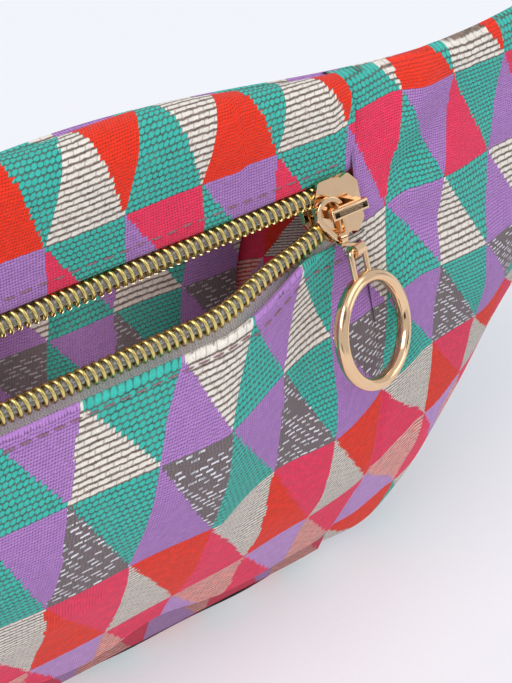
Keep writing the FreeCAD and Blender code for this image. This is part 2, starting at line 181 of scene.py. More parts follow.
# ---- material helpers ---------------------------------------------------------
class Nodes:
    """A short way to write a material's node tree."""

    def __init__(self, name):
        self.mat = bpy.data.materials.new(name)
        self.mat.use_nodes = True
        self.tree = self.mat.node_tree
        self.tree.nodes.clear()
        self.out = self.tree.nodes.new("ShaderNodeOutputMaterial")
        self.bsdf = self.tree.nodes.new("ShaderNodeBsdfPrincipled")
        self.tree.links.new(self.bsdf.outputs[0], self.out.inputs[0])

    def link(self, a, b):
        self.tree.links.new(a, b)

    def put(self, socket, value):
        if hasattr(value, "links"):
            self.link(value, socket)
        else:
            socket.default_value = value

    def math(self, op, a, b=None, c=None, clamp=False):
        n = self.tree.nodes.new("ShaderNodeMath")
        n.operation = op
        n.use_clamp = clamp
        for i, v in enumerate((a, b, c)):
            if v is not None:
                self.put(n.inputs[i], v)
        return n.outputs[0]

    def uv(self):
        n = self.tree.nodes.new("ShaderNodeUVMap")
        n.uv_map = "UVMap"
        s = self.tree.nodes.new("ShaderNodeSeparateXYZ")
        self.link(n.outputs[0], s.inputs[0])
        return s.outputs[0], s.outputs[1]

    def coord(self):
        n = self.tree.nodes.new("ShaderNodeTexCoord")
        return n.outputs["Object"]

    def vector(self, x, y, z=0.0):
        n = self.tree.nodes.new("ShaderNodeCombineXYZ")
        for i, v in enumerate((x, y, z)):
            self.put(n.inputs[i], v)
        return n.outputs[0]

    def noise(self, vector, scale, detail=3.0, rough=0.6):
        n = self.tree.nodes.new("ShaderNodeTexNoise")
        self.put(n.inputs["Vector"], vector)
        n.inputs["Scale"].default_value = scale
        n.inputs["Detail"].default_value = detail
        n.inputs["Roughness"].default_value = rough
        return n.outputs[0]

    def white(self, vector):
        n = self.tree.nodes.new("ShaderNodeTexWhiteNoise")
        n.noise_dimensions = "3D"
        self.put(n.inputs["Vector"], vector)
        return n.outputs[0]

    def ramp(self, value, stops, constant=False):
        n = self.tree.nodes.new("ShaderNodeValToRGB")
        r = n.color_ramp
        r.interpolation = "CONSTANT" if constant else "LINEAR"
        while len(r.elements) > 1:
            r.elements.remove(r.elements[-1])
        r.elements[0].position = stops[0][0]
        r.elements[0].color = (*stops[0][1], 1.0)
        for p, c in stops[1:]:
            e = r.elements.new(p)
            e.color = (*c, 1.0)
        self.put(n.inputs[0], value)
        return n.outputs[0]

    def mix(self, fac, a, b, mode="MIX"):
        n = self.tree.nodes.new("ShaderNodeMix")
        n.data_type = "RGBA"
        n.blend_type = mode
        self.put(n.inputs[0], fac)
        self.put(n.inputs[6], a if hasattr(a, "links") else (*a, 1.0))
        self.put(n.inputs[7], b if hasattr(b, "links") else (*b, 1.0))
        return n.outputs[2]

    def bump(self, height, distance, strength=1.0):
        n = self.tree.nodes.new("ShaderNodeBump")
        n.inputs["Strength"].default_value = strength
        n.inputs["Distance"].default_value = distance
        self.put(n.inputs["Height"], height)
        self.link(n.outputs[0], self.bsdf.inputs["Normal"])

    def set(self, **values):
        for k, v in values.items():
            self.put(self.bsdf.inputs[k.replace("_", " ")], v)


def linear(r, g, b):
    f = lambda c: c / 12.92 if c <= 0.04045 else ((c + 0.055) / 1.055) ** 2.4
    return tuple(f(c / 255.0) for c in (r, g, b))


COLOURS = {"t": linear(62, 190, 174), "r": linear(255, 52, 18), "p": linear(255, 56, 100),
           "v": linear(186, 134, 206), "l": linear(206, 160, 222), "c": linear(240, 232, 220),
           "s": linear(150, 142, 138), "b": linear(240, 186, 176)}
# what shows between the threads of each colour
GROUNDS = {"t": linear(92, 112, 104), "r": linear(206, 40, 20), "p": linear(214, 44, 62),
           "v": linear(128, 86, 124), "l": linear(150, 104, 150), "c": linear(124, 110, 100),
           "s": linear(100, 90, 86), "b": linear(214, 70, 50)}
# one string per row of the jacquard, from the crest down: the lower left half of
# three cells in turn; the upper right half takes the colour of the cell before
ROWS = ["rct", "tpv", "tcv", "tsv", "prc", "lpb", "ctr", "tpv"]
COLUMN, ROW = 14.5, 22.0
FRONT_ROWS = {2: 14.5, 3: 21.0, 4: 34.0}       # real heights of the rows that aren't 22 mm


def jacquard(name, painted_shade=1.0, shade_warmth=0.0):
    """Triangles of beads, ribs and lurex dashes, looked up from the cell coordinates in the UVs."""
    g = Nodes(name)
    m = g.math
    u, v = g.uv()
    # millimetres along and down the cloth, from cells of different heights
    wu, wv = m("MULTIPLY", u, COLUMN), m("MULTIPLY", v, ROW)
    for row, height in FRONT_ROWS.items():
        inside = m("SUBTRACT", v, float(row), clamp=True)
        wv = m("ADD", wv, m("MULTIPLY", inside, height - ROW))
    wander = g.noise(g.vector(wu, wv), 0.12, 2.0)
    wu = m("ADD", wu, m("MULTIPLY", m("SUBTRACT", wander, 0.5), 0.9))
    shake = g.noise(g.vector(wu, wv), 0.9, 2.0)
    wv = m("ADD", wv, m("MULTIPLY", m("SUBTRACT", shake, 0.5), 0.55))
    row_step, bead = 1.05, 1.05
    rows = m("DIVIDE", wv, row_step)
    row_id = m("FLOOR", rows)
    fv = m("SUBTRACT", rows, row_id)
    odd = m("FLOORED_MODULO", row_id, 2.0)
    stagger = m("MULTIPLY", odd, 0.5)
    beads = m("ADD", m("DIVIDE", wu, bead), stagger)
    bead_id = m("FLOOR", beads)
    fu = m("SUBTRACT", beads, bead_id)
    # the pattern is looked up once per half bead, so its edges are stepped
    step_u = m("SUBTRACT", m("FRACT", m("MULTIPLY", beads, 2.0)), 0.5)
    qu = m("SUBTRACT", u, m("MULTIPLY", step_u, 0.5 * bead / COLUMN))
    qv = m("SUBTRACT", v, m("MULTIPLY", m("SUBTRACT", fv, 0.5), row_step / ROW))
    k, r = m("FLOOR", qu), m("FLOOR", qv)
    lower = m("GREATER_THAN", m("SUBTRACT", qv, r), m("SUBTRACT", qu, k))
    kk = m("ADD", m("SUBTRACT", k, 1.0), lower)
    index = m("ADD", m("FLOORED_MODULO", kk, 3.0), m("MULTIPLY", m("FLOORED_MODULO", r, 8.0), 3.0))
    pick = m("DIVIDE", m("ADD", index, 0.5), 24.0)
    letters = "".join(ROWS)
    colour = g.ramp(pick, [(i / 24.0, COLOURS[c]) for i, c in enumerate(letters)], True)
    kinds = g.ramp(pick, [(i / 24.0, (float(c in "cb"), float(c == "s"), float(c == "t")))
                          for i, c in enumerate(letters)], True)
    grounds = g.ramp(pick, [(i / 24.0, GROUNDS[c]) for i, c in enumerate(letters)], True)
    split = g.tree.nodes.new("ShaderNodeSeparateColor")
    g.link(kinds, split.inputs[0])
    rib, silver, coarse = split.outputs[0], split.outputs[1], split.outputs[2]

    def mound(a, b, size):
        """1 in the middle of a bead, falling to 0 between the beads."""
        x, y = m("MULTIPLY_ADD", a, 2.0, -1.0), m("MULTIPLY_ADD", b, 2.0, -1.0)
        r2 = m("ADD", m("MULTIPLY", m("MULTIPLY", x, x), 0.85), m("MULTIPLY", y, y))
        return m("MULTIPLY", m("SUBTRACT", size, r2), 1.5, clamp=True)

    big = mound(fu, fv, 1.25)
    fine = mound(m("FRACT", m("MULTIPLY", beads, 2.0)), m("FRACT", m("MULTIPLY", rows, 2.0)), 1.35)
    fine = m("ADD", 0.30, m("MULTIPLY", fine, 0.70))
    # floats of the ribbed areas are two beads long and staggered
    floats = m("ADD", m("DIVIDE", wu, 2.0 * bead), stagger)
    fl = m("FRACT", floats)
    dv = m("ABSOLUTE", m("MULTIPLY_ADD", fv, 2.0, -1.0))
    dl = m("ABSOLUTE", m("MULTIPLY_ADD", fl, 2.0, -1.0))
    ridge = m("MULTIPLY", m("SUBTRACT", 0.86, dv), 3.0, clamp=True)
    ridge = m("MULTIPLY", ridge, m("SUBTRACT", 1.0, m("MULTIPLY", m("GREATER_THAN", dl, 0.90), 0.42)))
    each = g.white(g.vector(m("FLOOR", floats), row_id, 3.0))
    each2 = g.white(g.vector(bead_id, row_id, 8.0))
    dash = m("MULTIPLY", m("LESS_THAN", dv, 0.34), m("LESS_THAN", dl, m("MULTIPLY_ADD", each2, 0.5, 0.35)))
    dash = m("MULTIPLY", dash, m("GREATER_THAN", each, 0.22))
    mask = m("ADD", m("MULTIPLY", coarse, big), m("MULTIPLY", m("SUBTRACT", 1.0, coarse), fine))
    mask = m("ADD", m("MULTIPLY", rib, ridge), m("MULTIPLY", m("SUBTRACT", 1.0, rib), mask))
    fibre = g.noise(g.vector(m("MULTIPLY", wu, 0.6), m("MULTIPLY", wv, 2.6)), 2.6, 3.0, 0.75)
    hair = g.noise(g.vector(m("MULTIPLY", wu, 4.0), m("MULTIPLY", wv, 4.0)), 2.0, 3.0, 0.75)
    fluff = m("ADD", 0.56, m("MULTIPLY", m("ADD", fibre, m("MULTIPLY", hair, 0.5)), 0.42))
    tone = m("ADD", m("MULTIPLY", each2, 0.16), fluff)
    grey = g.tree.nodes.new("ShaderNodeCombineColor")
    for i in range(3):
        g.put(grey.inputs[i], tone)
    thread = g.mix(1.0, colour, grey.outputs[0], "MULTIPLY")
    # the ground shows between the threads, with odd specks of the other wefts
    speck = g.ramp(each2, [(0.0, (1.0, 1.0, 1.0)), (0.55, (0.55, 0.42, 0.36)), (0.8, (1.3, 1.15, 1.05))])
    between = g.mix(1.0, grounds, speck, "MULTIPLY")
    worn = m("GREATER_THAN", m("ADD", hair, m("MULTIPLY", each2, 0.16)), 0.74)
    mask = m("MULTIPLY", mask, m("SUBTRACT", 1.0, m("MULTIPLY", worn, 0.55)))
    body = g.mix(mask, between, thread)
    # lurex: thin bright dashes on a grey brown ground
    warp = m("MULTIPLY", m("GREATER_THAN", m("FRACT", m("MULTIPLY", beads, 1.5)), 0.72), 0.6)
    ground = g.ramp(hair, [(0.30, linear(82, 76, 74)), (0.70, linear(140, 128, 122))])
    ground = g.mix(warp, ground, linear(150, 122, 146))
    lurex = g.mix(dash, ground, g.ramp(each2, [(0.0, linear(176, 180, 186)), (0.6, linear(250, 250, 255))]))
    body = g.mix(silver, body, lurex)
    # painted shade: below 1 the cloth is darkened, and made a little warmer, for the shade inside the bag
    if painted_shade < 1.0:
        body = g.mix(1.0, body, (painted_shade, painted_shade * (1 - shade_warmth), painted_shade * (1 - shade_warmth)), "MULTIPLY")
    shine = m("MULTIPLY", silver, dash)
    g.set(Base_Color=body, Roughness=m("SUBTRACT", 0.88, m("MULTIPLY", shine, 0.55)),
          Metallic=m("MULTIPLY", shine, 0.5))
    g.bsdf.inputs["Sheen Weight"].default_value = 0.10
    g.bsdf.inputs["Sheen Roughness"].default_value = 0.5
    g.bsdf.inputs["Specular IOR Level"].default_value = 0.25
    total = m("ADD", m("MULTIPLY", mask, 0.8), m("ADD", m("MULTIPLY", fibre, 0.2), m("MULTIPLY", hair, 0.16)))
    g.bump(total, 0.00042, 0.9)
    return g.mat


def metal(name, colour, rough, dark, grain=900.0):
    g = Nodes(name)
    c = g.coord()
    n = g.noise(c, grain, 4.0, 0.65)
    n2 = g.noise(c, 180.0, 3.0)
    g.set(Base_Color=g.mix(g.math("MULTIPLY", n2, 0.5), colour, dark), Metallic=1.0,
          Roughness=g.math("ADD", rough, g.math("MULTIPLY", n, 0.10)))
    g.bump(n, 0.00001, 0.35)
    return g.mat


def thread(name, colour, dark):
    """Twisted thread or cord: diagonal plies along u."""
    g = Nodes(name)
    u, v = g.uv()
    ply = g.math("SINE", g.math("ADD", g.math("MULTIPLY", u, 9.0), g.math("MULTIPLY", v, 7.0)))
    fuzz = g.noise(g.coord(), 5200.0, 3.0)
    fac = g.math("ADD", g.math("MULTIPLY", ply, 0.25), g.math("MULTIPLY", fuzz, 0.9), clamp=True)
    g.set(Base_Color=g.mix(fac, dark, colour), Roughness=0.85)
    g.bump(g.math("ADD", ply, fuzz), 0.00008, 0.8)
    return g.mat


def ribbed(name, colour, dark, rib_u, rib_v, depth=0.0002):
    """Woven tape or webbing with ribs along u and picks along v."""
    g = Nodes(name)
    u, v = g.uv()
    a = g.math("SINE", g.math("MULTIPLY", u, 2 * math.pi / rib_u))
    b = g.math("SINE", g.math("ADD", g.math("MULTIPLY", v, 2 * math.pi / rib_v),
                              g.math("MULTIPLY", g.math("GREATER_THAN", a, 0.0), math.pi)))
    fuzz = g.noise(g.coord(), 3600.0, 3.0)
    h = g.math("ADD", g.math("MULTIPLY", g.math("ADD", a, b), 0.3), fuzz)
    lit = g.math("MULTIPLY", g.math("ADD", h, 0.4), 0.75, clamp=True)
    g.set(Base_Color=g.mix(lit, dark, colour), Roughness=0.8)
    g.bump(h, depth, 0.8)
    return g.mat


def moulded(name, colour):
    g = Nodes(name)
    c = g.coord()
    n = g.noise(c, 4200.0, 3.0)
    n2 = g.noise(c, 60.0, 3.0)
    g.set(Base_Color=g.mix(n2, colour, tuple(x * 1.8 + 0.004 for x in colour)),
          Roughness=g.math("ADD", 0.38, g.math("MULTIPLY", n, 0.2)))
    g.bump(n, 0.00003, 0.5)
    return g.mat


JACQUARD = jacquard("jacquard")
# the lining is the same cloth with painted shade, darkened to 0.62 for the shade inside the bag
LINING = jacquard("lining", 0.62, 0.06)
GOLD = metal("coil_gold", linear(240, 220, 142), 0.20, linear(150, 118, 58))
ROSE = metal("rose_gold", linear(240, 206, 166), 0.06, linear(222, 176, 132), 500.0)
STEEL = metal("steel", linear(200, 200, 200), 0.25, linear(130, 130, 130))
CORD = thread("cord", linear(196, 194, 186), linear(104, 102, 96))
STITCH = thread("stitch", linear(196, 158, 162), linear(140, 92, 108))
TAPE = ribbed("tape", linear(240, 232, 230), linear(190, 182, 180), 0.55, 0.8)
WEBBING = ribbed("webbing", linear(48, 158, 142), linear(20, 92, 84), 1.3, 0.9, 0.0003)
PLASTIC = moulded("moulded", (0.012, 0.012, 0.014))

# ---- where the jacquard's cells lie ---------------------------------------------
# heights of the row boundaries on the front, at stations along it
ROW_X = [0.0, 53.0, 69.0, 80.0, 91.0, 112.0, 140.0, 168.0]
ROW_Z = {0: [131.0, 129.0, 128.0, 127.0, 126.0, 125.0, 124.0, 123.0],
         1: [109.0, 108.0, 107.0, 108.5, 108.0, 103.5, 101.0, 99.0],
         2: [91.0, 91.0, 90.0, 89.5, 91.2, 88.0, 84.0, 82.0],
         3: [77.0, 75.5, 74.0, 74.5, 76.0, 71.0, 68.0, 68.0],
         4: [56.0, 53.0, 53.5, 59.0, 61.0, 56.0, 54.0, 55.0],
         5: [21.5, 25.5, 29.0, 37.5, 44.0, 42.0, 42.0, 44.0]}
# where columns 1 to 6 begin along the boundaries under rows B, C, D and E
COLUMN_X = {2: [18.3, 37.2, 51.3, 64.0, 73.5, 85.5],
            3: [12.9, 29.4, 43.3, 57.5, 69.3, 82.5],
            4: [7.4, 23.6, 39.6, 55.6, 68.6, 79.5],
            5: [11.0, 26.1, 40.0, 55.5, 69.0, 79.0]}


def cell_column(x, row):
    """Column coordinate at x, on the boundary above a row."""
    if row < 2:
        return 1.0 + (x - 21.3) / 14.3
    xs = COLUMN_X[min(row, 5)]
    first, last = xs[0], xs[-1]
    if x < first:
        return 1.0 - (first - x) / COLUMN
    if x > last:
        return 6.0 + (x - last) / COLUMN
    return 1.0 + float(np.interp(x, xs, range(6)))


def cell_at(x, z, arc_below=0.0, yoke=False):
    """Pattern coordinates of a point of the front at its closed height."""
    if yoke:
        lean = 0.42 * max(0.0, arc_below - 9.5)
        return cell_column(x - lean, 0), 1.43 - arc_below / ROW
    bounds = [float(np.interp(abs(x), ROW_X, ROW_Z[r])) for r in range(6)]
    if z <= bounds[5]:
        v = 5.0 + (bounds[5] - z) / ROW + arc_below / ROW
        return cell_column(x, 5), v
    for r in range(5):
        if z > bounds[r + 1]:
            share = (bounds[r] - z) / (bounds[r] - bounds[r + 1])
            a = cell_column(x, r)
            b = cell_column(x, r + 1)
            if r == 1 and abs(x) < SEAM_X - 0.3:
                a = b
                share = 1.02
            return a + (b - a) * share, r + share
    return cell_column(x, 5), 5.0


# ---- soft panels ---------------------------------------------------------------
def slack(x, z, seed, size):
    """Gentle unevenness of filled cloth, in millimetres."""
    return size * (0.5 * math.sin(x * 0.11 + seed) * math.sin(z * 0.13 + 1.7 * seed)
                   + 0.3 * math.sin(x * 0.21 + z * 0.08 + 3.1 * seed)
                   + 0.2 * math.sin(z * 0.31 - x * 0.06 + seed))


# section where the front meets a wing, and a wing's own section: (y, share of the height).
# The front's own profile takes its lower points from the first of them.
SEAM_SECTION = [(17.6, 0.03), (14.0, 0.006), (6.0, 0.002), (-3.0, 0.0075), (-6.0, 0.025), (-12.0, 0.083),
                (-17.8, 0.178), (-26.3, 0.33), (-29.5, 0.48), (-28.3, 0.6), (-24.9, 0.71), (-21.2, 0.84),
                (-19.3, 0.93), (-17.0, 0.98), (-14.0, 0.997), (-11.6, 0.99), (-10.3, 0.965)]
WING_SECTION = [(17.6, 0.03), (14.0, 0.008), (6.0, 0.004), (-2.0, 0.004), (-9.0, 0.012), (-14.5, 0.07),
                (-19.5, 0.16), (-26.0, 0.31), (-29.2, 0.47), (-28.2, 0.61), (-24.2, 0.75), (-20.6, 0.87),
                (-18.6, 0.95), (-16.4, 0.985), (-13.6, 0.997), (-11.4, 0.99), (-10.2, 0.965)]


def lip_height(x):
    """The lip's fold lies close under the coil, and lower beside the slider."""
    return 88.3 + 3.0 * float(smooth((74.0 - abs(x)) / 10.0))


def front_profile(x):
    """Closed profile from inside the lip's fold round to the flat bottom."""
    ly, lz = ZIP_Y - 3.0, lip_height(x)
    pts = [(ly + 2.4, lz - 8.0), (ly + 2.1, lz - 3.0), (ly + 1.65, lz - 0.75), (ly + 0.9, lz - 0.05),
           (ly + 0.15, lz - 0.7)]
    pts += [placed(x, -24.9, 0.69)] + [placed(x, y, share) for y, share in SEAM_SECTION[9:2:-1]]
    return resample(pts, 88)


def edge_tuck(x):
    """Panels turn in at the seams beside the zip."""
    d = SEAM_X - abs(x)
    return 0.7 * math.exp(-max(d, 0.0) / 1.1)


FRONT_X = np.linspace(-SEAM_X, SEAM_X, 111)
FRONT_X = np.sort(np.concatenate([FRONT_X, [-FULL_X, FULL_X]]))


def front_points():
    rows, uvs = [], []
    for x in FRONT_X:
        prof = front_profile(x)
        fold = int(np.argmax(prof[:, 1]))
        bottom = int(np.argmin(prof[:, 1]))
        run = np.concatenate([[0], np.cumsum(np.linalg.norm(np.diff(prof, axis=0), axis=1))])
        line, cells = [], []
        for i, (y, z) in enumerate(prof):
            grow = slack(x, z, 0.4, 0.7) * float(smooth((84.0 - z) / 22.0)) * float(smooth(z / 12.0))
            grow -= edge_tuck(x)
            w = lip_share(x, z)
            p = np.array([x, y - grow, z]) + GAPE * w
            line.append(p)
            depth = run[i] - run[fold]
            if i <= fold:
                cells.append((cell_column(x, 2), 2.02 + abs(depth) / ROW))
            elif z < 6.0:
                low = 5.0 + (float(np.interp(abs(x), ROW_X, ROW_Z[5])) - 6.0) / ROW
                k = int(np.argmin(np.abs(prof[fold:, 1] - 6.0))) + fold
                cells.append((cell_column(x, 5), low + (run[i] - run[k]) / ROW))
            else:
                cells.append(cell_at(x, z))
        rows.append(line)
        uvs.append(cells)
    return np.array(rows), np.array(uvs)


def lip_blend(obj, side):
    """side 0 is the stretch that opens fully; for every side the piece's transform is baked into its mesh."""
    if side == 0:
        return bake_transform(obj)
    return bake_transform(obj)


def line_blend(obj):
    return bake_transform(obj)


def make_front():
    pts, uvs = front_points()
    left = int(np.argmin(np.abs(FRONT_X + FULL_X)))
    right = int(np.argmin(np.abs(FRONT_X - FULL_X)))
    for name, a, b, side in (("front_left", 0, left, -1), ("front_middle", left, right, 0),
                             ("front_right", right, len(FRONT_X) - 1, 1)):
        obj = grid(name, pts[a:b + 1], uvs[a:b + 1], JACQUARD, flip=True)
        lip_blend(obj, side)
        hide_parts("front_panel")
    return pts


def yoke_profile(x):
    t = top_z(x)
    pts = [(-16.4, 105.0), (-17.0, 100.2), (-17.6, 98.7), (-18.5, 98.1), (-19.15, 99.0), (-19.3, 103.0),
           (-19.3, t - 8.0), (-18.6, t - 3.2), (-16.6, t - 0.7), (-14.2, t - 0.1), (-11.8, t - 1.0),
           (-10.4, t - 3.4), (-10.0, t - 7.0)]
    return resample(pts, 56)


def make_yoke():
    rows, uvs = [], []
    for x in FRONT_X:
        prof = yoke_profile(x)
        fold = int(np.argmin(prof[:30, 1]))
        run = np.concatenate([[0], np.cumsum(np.linalg.norm(np.diff(prof, axis=0), axis=1))])
        line, cells = [], []
        for i, (y, z) in enumerate(prof):
            grow = slack(x, z, 1.9, 0.55) * float(smooth((z - 100.0) / 8.0)) - edge_tuck(x) * 0.8
            line.append((x, y - grow, z + 0.35 * math.sin(x * 0.16) * float(smooth((z - 110) / 8.0))))
            cells.append(cell_at(x, z, run[i] - run[fold], True))
        rows.append(line)
        uvs.append(cells)
    obj = grid("yoke", np.array(rows), np.array(uvs), JACQUARD)
    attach(obj, "root")
    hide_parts("yoke_panel")


def fold_ridge(x, z, x0, z0, angle, width, length, height):
    """A soft fold running away from a point at an angle in the plane of the front."""
    dx, dz = x - x0, z - z0
    along = dx * math.cos(angle) + dz * math.sin(angle)
    off = -dx * math.sin(angle) + dz * math.cos(angle)
    if along < 0:
        return 0.0
    ends = float(smooth(along / 8.0)) * float(smooth((length - along) / (0.6 * length)))
    return height * math.exp(-(off / width) ** 2) * ends


def wing_profile(x):
    w = float(smooth((x - SEAM_X) / 15.0))
    shape = [(a[0] + (b[0] - a[0]) * w, a[1] + (b[1] - a[1]) * w) for a, b in zip(SEAM_SECTION, WING_SECTION)]
    return resample([placed(x, y, s) for y, s in shape], 100)


def make_wing(side, name):
    xs = np.concatenate([[SEAM_X - 0.9, SEAM_X - 0.2], np.linspace(SEAM_X + 0.6, HALF_LENGTH, 64)])
    rows, uvs = [], []
    for x in xs:
        prof = wing_profile(x)
        run = np.concatenate([[0], np.cumsum(np.linalg.norm(np.diff(prof, axis=0), axis=1))])
        front = int(np.argmin(prof[:, 0]))
        tuck = 0.6 * math.exp(-max(x - SEAM_X, 0.0) / 1.3)
        fade = float(smooth((x - SEAM_X) / 6.0)) * float(smooth((HALF_LENGTH - x) / 20.0))
        line, cells = [], []
        for i, (y, z) in enumerate(prof):
            grow = slack(x * 1.3, z, 2.3 + side, 0.9) * fade
            grow += fade * fold_ridge(x, z, 84, 96, math.radians(38), 3.6, 46, 1.1)
            grow += fade * fold_ridge(x, z, 86, 90, math.radians(2), 4.2, 60, 0.9)
            grow += fade * fold_ridge(x, z, 86, 82, math.radians(-38), 4.6, 48, 0.9)
            grow -= fade * fold_ridge(x, z, 85, 93, math.radians(20), 3.0, 50, 0.9)
            grow -= fade * fold_ridge(x, z, 86, 86, math.radians(-18), 3.2, 50, 0.8)
            facing = float(smooth((4.0 - y) / (6.0 * bulge(x) + 4.0)))
            facing *= float(smooth((z - bottom_z(x)) / 14.0)) * float(smooth((top_z(x) - z) / 4.0))
            line.append((side * x, y - grow * facing + tuck * float(smooth((4.0 - y) / 6.0)), z))
            below = run[front] - run[i]
            if i >= front or z > bottom_z(x) + 10:
                if y > MID_Y:
                    cells.append((cell_column(side * x, 5), 7.0 + below / ROW))
                else:
                    cells.append(cell_at(side * x, z))
            else:
                k = int(np.argmax(prof[:, 1] > bottom_z(x) + 10))
                c = cell_at(side * x, float(prof[k, 1]))
                cells.append((c[0], c[1] + (run[k] - run[i]) / ROW))
        rows.append(line)
        uvs.append(cells)
    obj = grid(name, np.array(rows), np.array(uvs), JACQUARD, flip=side < 0)
    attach(obj, "root")
    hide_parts("wing_panel_right" if side > 0 else "wing_panel_left")
    # the open end of the wing, closed round the webbing
    end = np.array(rows[-1])
    mid = end.mean(0)
    half_in, full_in = np.array([-side * 0.8, 0, 0]), np.array([-side * 1.5, 0, 0])
    cap = np.array([[p, mid * 0.5 + p * 0.5 + half_in, mid + full_in] for p in end])
    cap[:, 2, 2] = end[:, 2]
    cap[:, 1, 2] = end[:, 2]
    column = cell_column(side * HALF_LENGTH, 5)
    uv = np.array([[(column + j * 0.1, p[2] / ROW) for j in range(3)] for p in end])
    obj = grid(name + "_end", cap, uv, JACQUARD, flip=side > 0)
    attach(obj, "root")


def make_back():
    xs = np.linspace(-HALF_LENGTH, HALF_LENGTH, 141)
    rows, uvs = [], []
    for x in xs:
        w = float(smooth((abs(x) - ZIP_HALF) / 50.0))
        shape = [(-12.6, 0.955 - 0.02 * w), (-12.4, 0.985 - 0.02 * w), (-11.0 + 1.5 * w, 0.992 - 0.02 * w),
                 (-3.0 + 3.0 * w, 0.93 - 0.02 * w), (7.0, 0.82), (15.0, 0.62), (19.0, 0.35),
                 (19.5, 0.15), (18.4, 0.04), (15.8, 0.008), (12.0, 0.001)]
        prof = resample([placed(x, y, s) for y, s in shape], 64)
        run = np.concatenate([[0], np.cumsum(np.linalg.norm(np.diff(prof, axis=0), axis=1))])
        line, cells = [], []
        for i, (y, z) in enumerate(prof):
            inner = float(smooth((z - bottom_z(x)) / 12.0)) * float(smooth((top_z(x) - z) / 10.0))
            line.append((x, y + slack(x, z, 5.1, 0.9) * inner * bulge(x), z))
            cells.append((6.0 - x / COLUMN, 2.0 + run[i] / ROW))
        rows.append(line)
        uvs.append(cells)
    obj = grid("back", np.array(rows), np.array(uvs), JACQUARD, flip=True)
    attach(obj, "root")
    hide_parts("back_panel")


def make_base():
    xs = np.linspace(-SEAM_X, SEAM_X, 40)
    ys = np.linspace(-3.0, 14.0, 14)
    rows = [[(x, y, 0.05 + 0.85 * float(smooth(-(y - 1.0) / 4.0))) for y in ys] for x in xs]
    uvs = [[(cell_column(x, 5), 6.3 + (y + 3.0) / ROW) for y in ys] for x in xs]
    obj = grid("base", np.array(rows), np.array(uvs), JACQUARD, flip=True)
    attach(obj, "root")
    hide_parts("base_panel")


def make_linings():
    xs = np.linspace(-79.0, 79.0, 60)
    rows, uvs = [], []
    for x in xs:
        shape = [(-14.6, 101.0), (-13.2, 106.0), (-9.0, 107.0), (-2.0, 104.0)]
        shape += [placed(x, 4.8, 0.80), placed(x, 12.2, 0.61), placed(x, 16.2, 0.36), placed(x, 16.0, 0.16),
                  placed(x, 10.0, 0.03), placed(x, -4.0, 0.022), placed(x, -10.0, 0.05)]
        prof = resample(shape, 60)
        run = np.concatenate([[0], np.cumsum(np.linalg.norm(np.diff(prof, axis=0), axis=1))])
        rows.append([(x, y - slack(x, z, 8.2, 1.1) * float(smooth((100 - z) / 20)), z) for y, z in prof])
        uvs.append([(0.4 + x / COLUMN, 0.15 + r / ROW) for r in run])
    obj = grid("lining_inner", np.array(rows), np.array(uvs), LINING)
    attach(obj, "root")
    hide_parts("lining_back")
    keep = [x for x in FRONT_X if abs(x) <= 79.5]
    for name, lo, hi, side in (("lining_front_left", -79.5, -FULL_X, -1),
                               ("lining_front_middle", -FULL_X, FULL_X, 0),
                               ("lining_front_right", FULL_X, 79.5, 1)):
        rows, uvs = [], []
        for x in [x for x in keep if lo - 0.01 <= x <= hi + 0.01]:
            ly, lz = ZIP_Y - 3.0, lip_height(x)
            shape = [(ly + 3.0, lz - 6.0)] + [placed(x, y, s) for y, s in
                     ((-24.4, 0.6), (-27.0, 0.48), (-25.0, 0.355), (-18.0, 0.2), (-12.0, 0.07))]
            prof = resample(shape, 40)
            line = []
            for y, z in prof:
                line.append(np.array([x, y, z]) + GAPE * lip_share(x, z))
            rows.append(line)
            uvs.append([(0.4 + x / COLUMN, 2.2 + (88 - z) / ROW) for y, z in prof])
        obj = grid(name, np.array(rows), np.array(uvs), LINING)
        lip_blend(obj, side)
        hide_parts("lining_front")


# ---- zip --------------------------------------------------------------------------
def zip_point(x, up, out, low):
    """A point of the zip: x along, up and out from the slider's centre line."""
    p = np.array([x, ZIP_Y, ZIP_Z]) + UP * up + OUT * out
    if low:
        away = float(smooth((AWAY_X - abs(x)) / AWAY_RUN))
        p = p + UP * MESHING * away + GAPE * line_share(x)
    return p


def coil_path(x0, x1, low):
    """The turns of a nylon coil: a flattened spiral that leans, with a head towards the middle."""
    steps = 18
    turns = int(abs(x1 - x0) / COIL_PITCH)
    path = []
    for i in range(turns * steps + 1):
        t = i / steps
        a = 2 * math.pi * t
        x = x0 + (x1 - x0) * t / turns
        up = COIL_HALF_WIDTH * math.cos(a)
        out = COIL_HALF_THICK * math.sin(a)
        sign = 1.0 if low else -1.0
        swell = 0.16 * smooth((sign * math.cos(a) - 0.4) / 0.6)     # the head is a little wider
        x += 0.24 * math.sin(a) * (1 if x1 > x0 else -1)
        centre = -COIL_OFFSET if low else COIL_OFFSET
        path.append(zip_point(x, centre + up, out * (1.0 + swell), low))
    return path


def strip(x0, x1, count, up0, up1, out, low):
    xs = np.linspace(x0, x1, count)
    rows = np.array([[zip_point(x, up0 + (up1 - up0) * j / 7.0, out, low) for j in range(8)] for x in xs])
    uv = np.array([[(x, (up1 - up0) * j / 7.0) for j in range(8)] for x in xs])
    return rows, uv


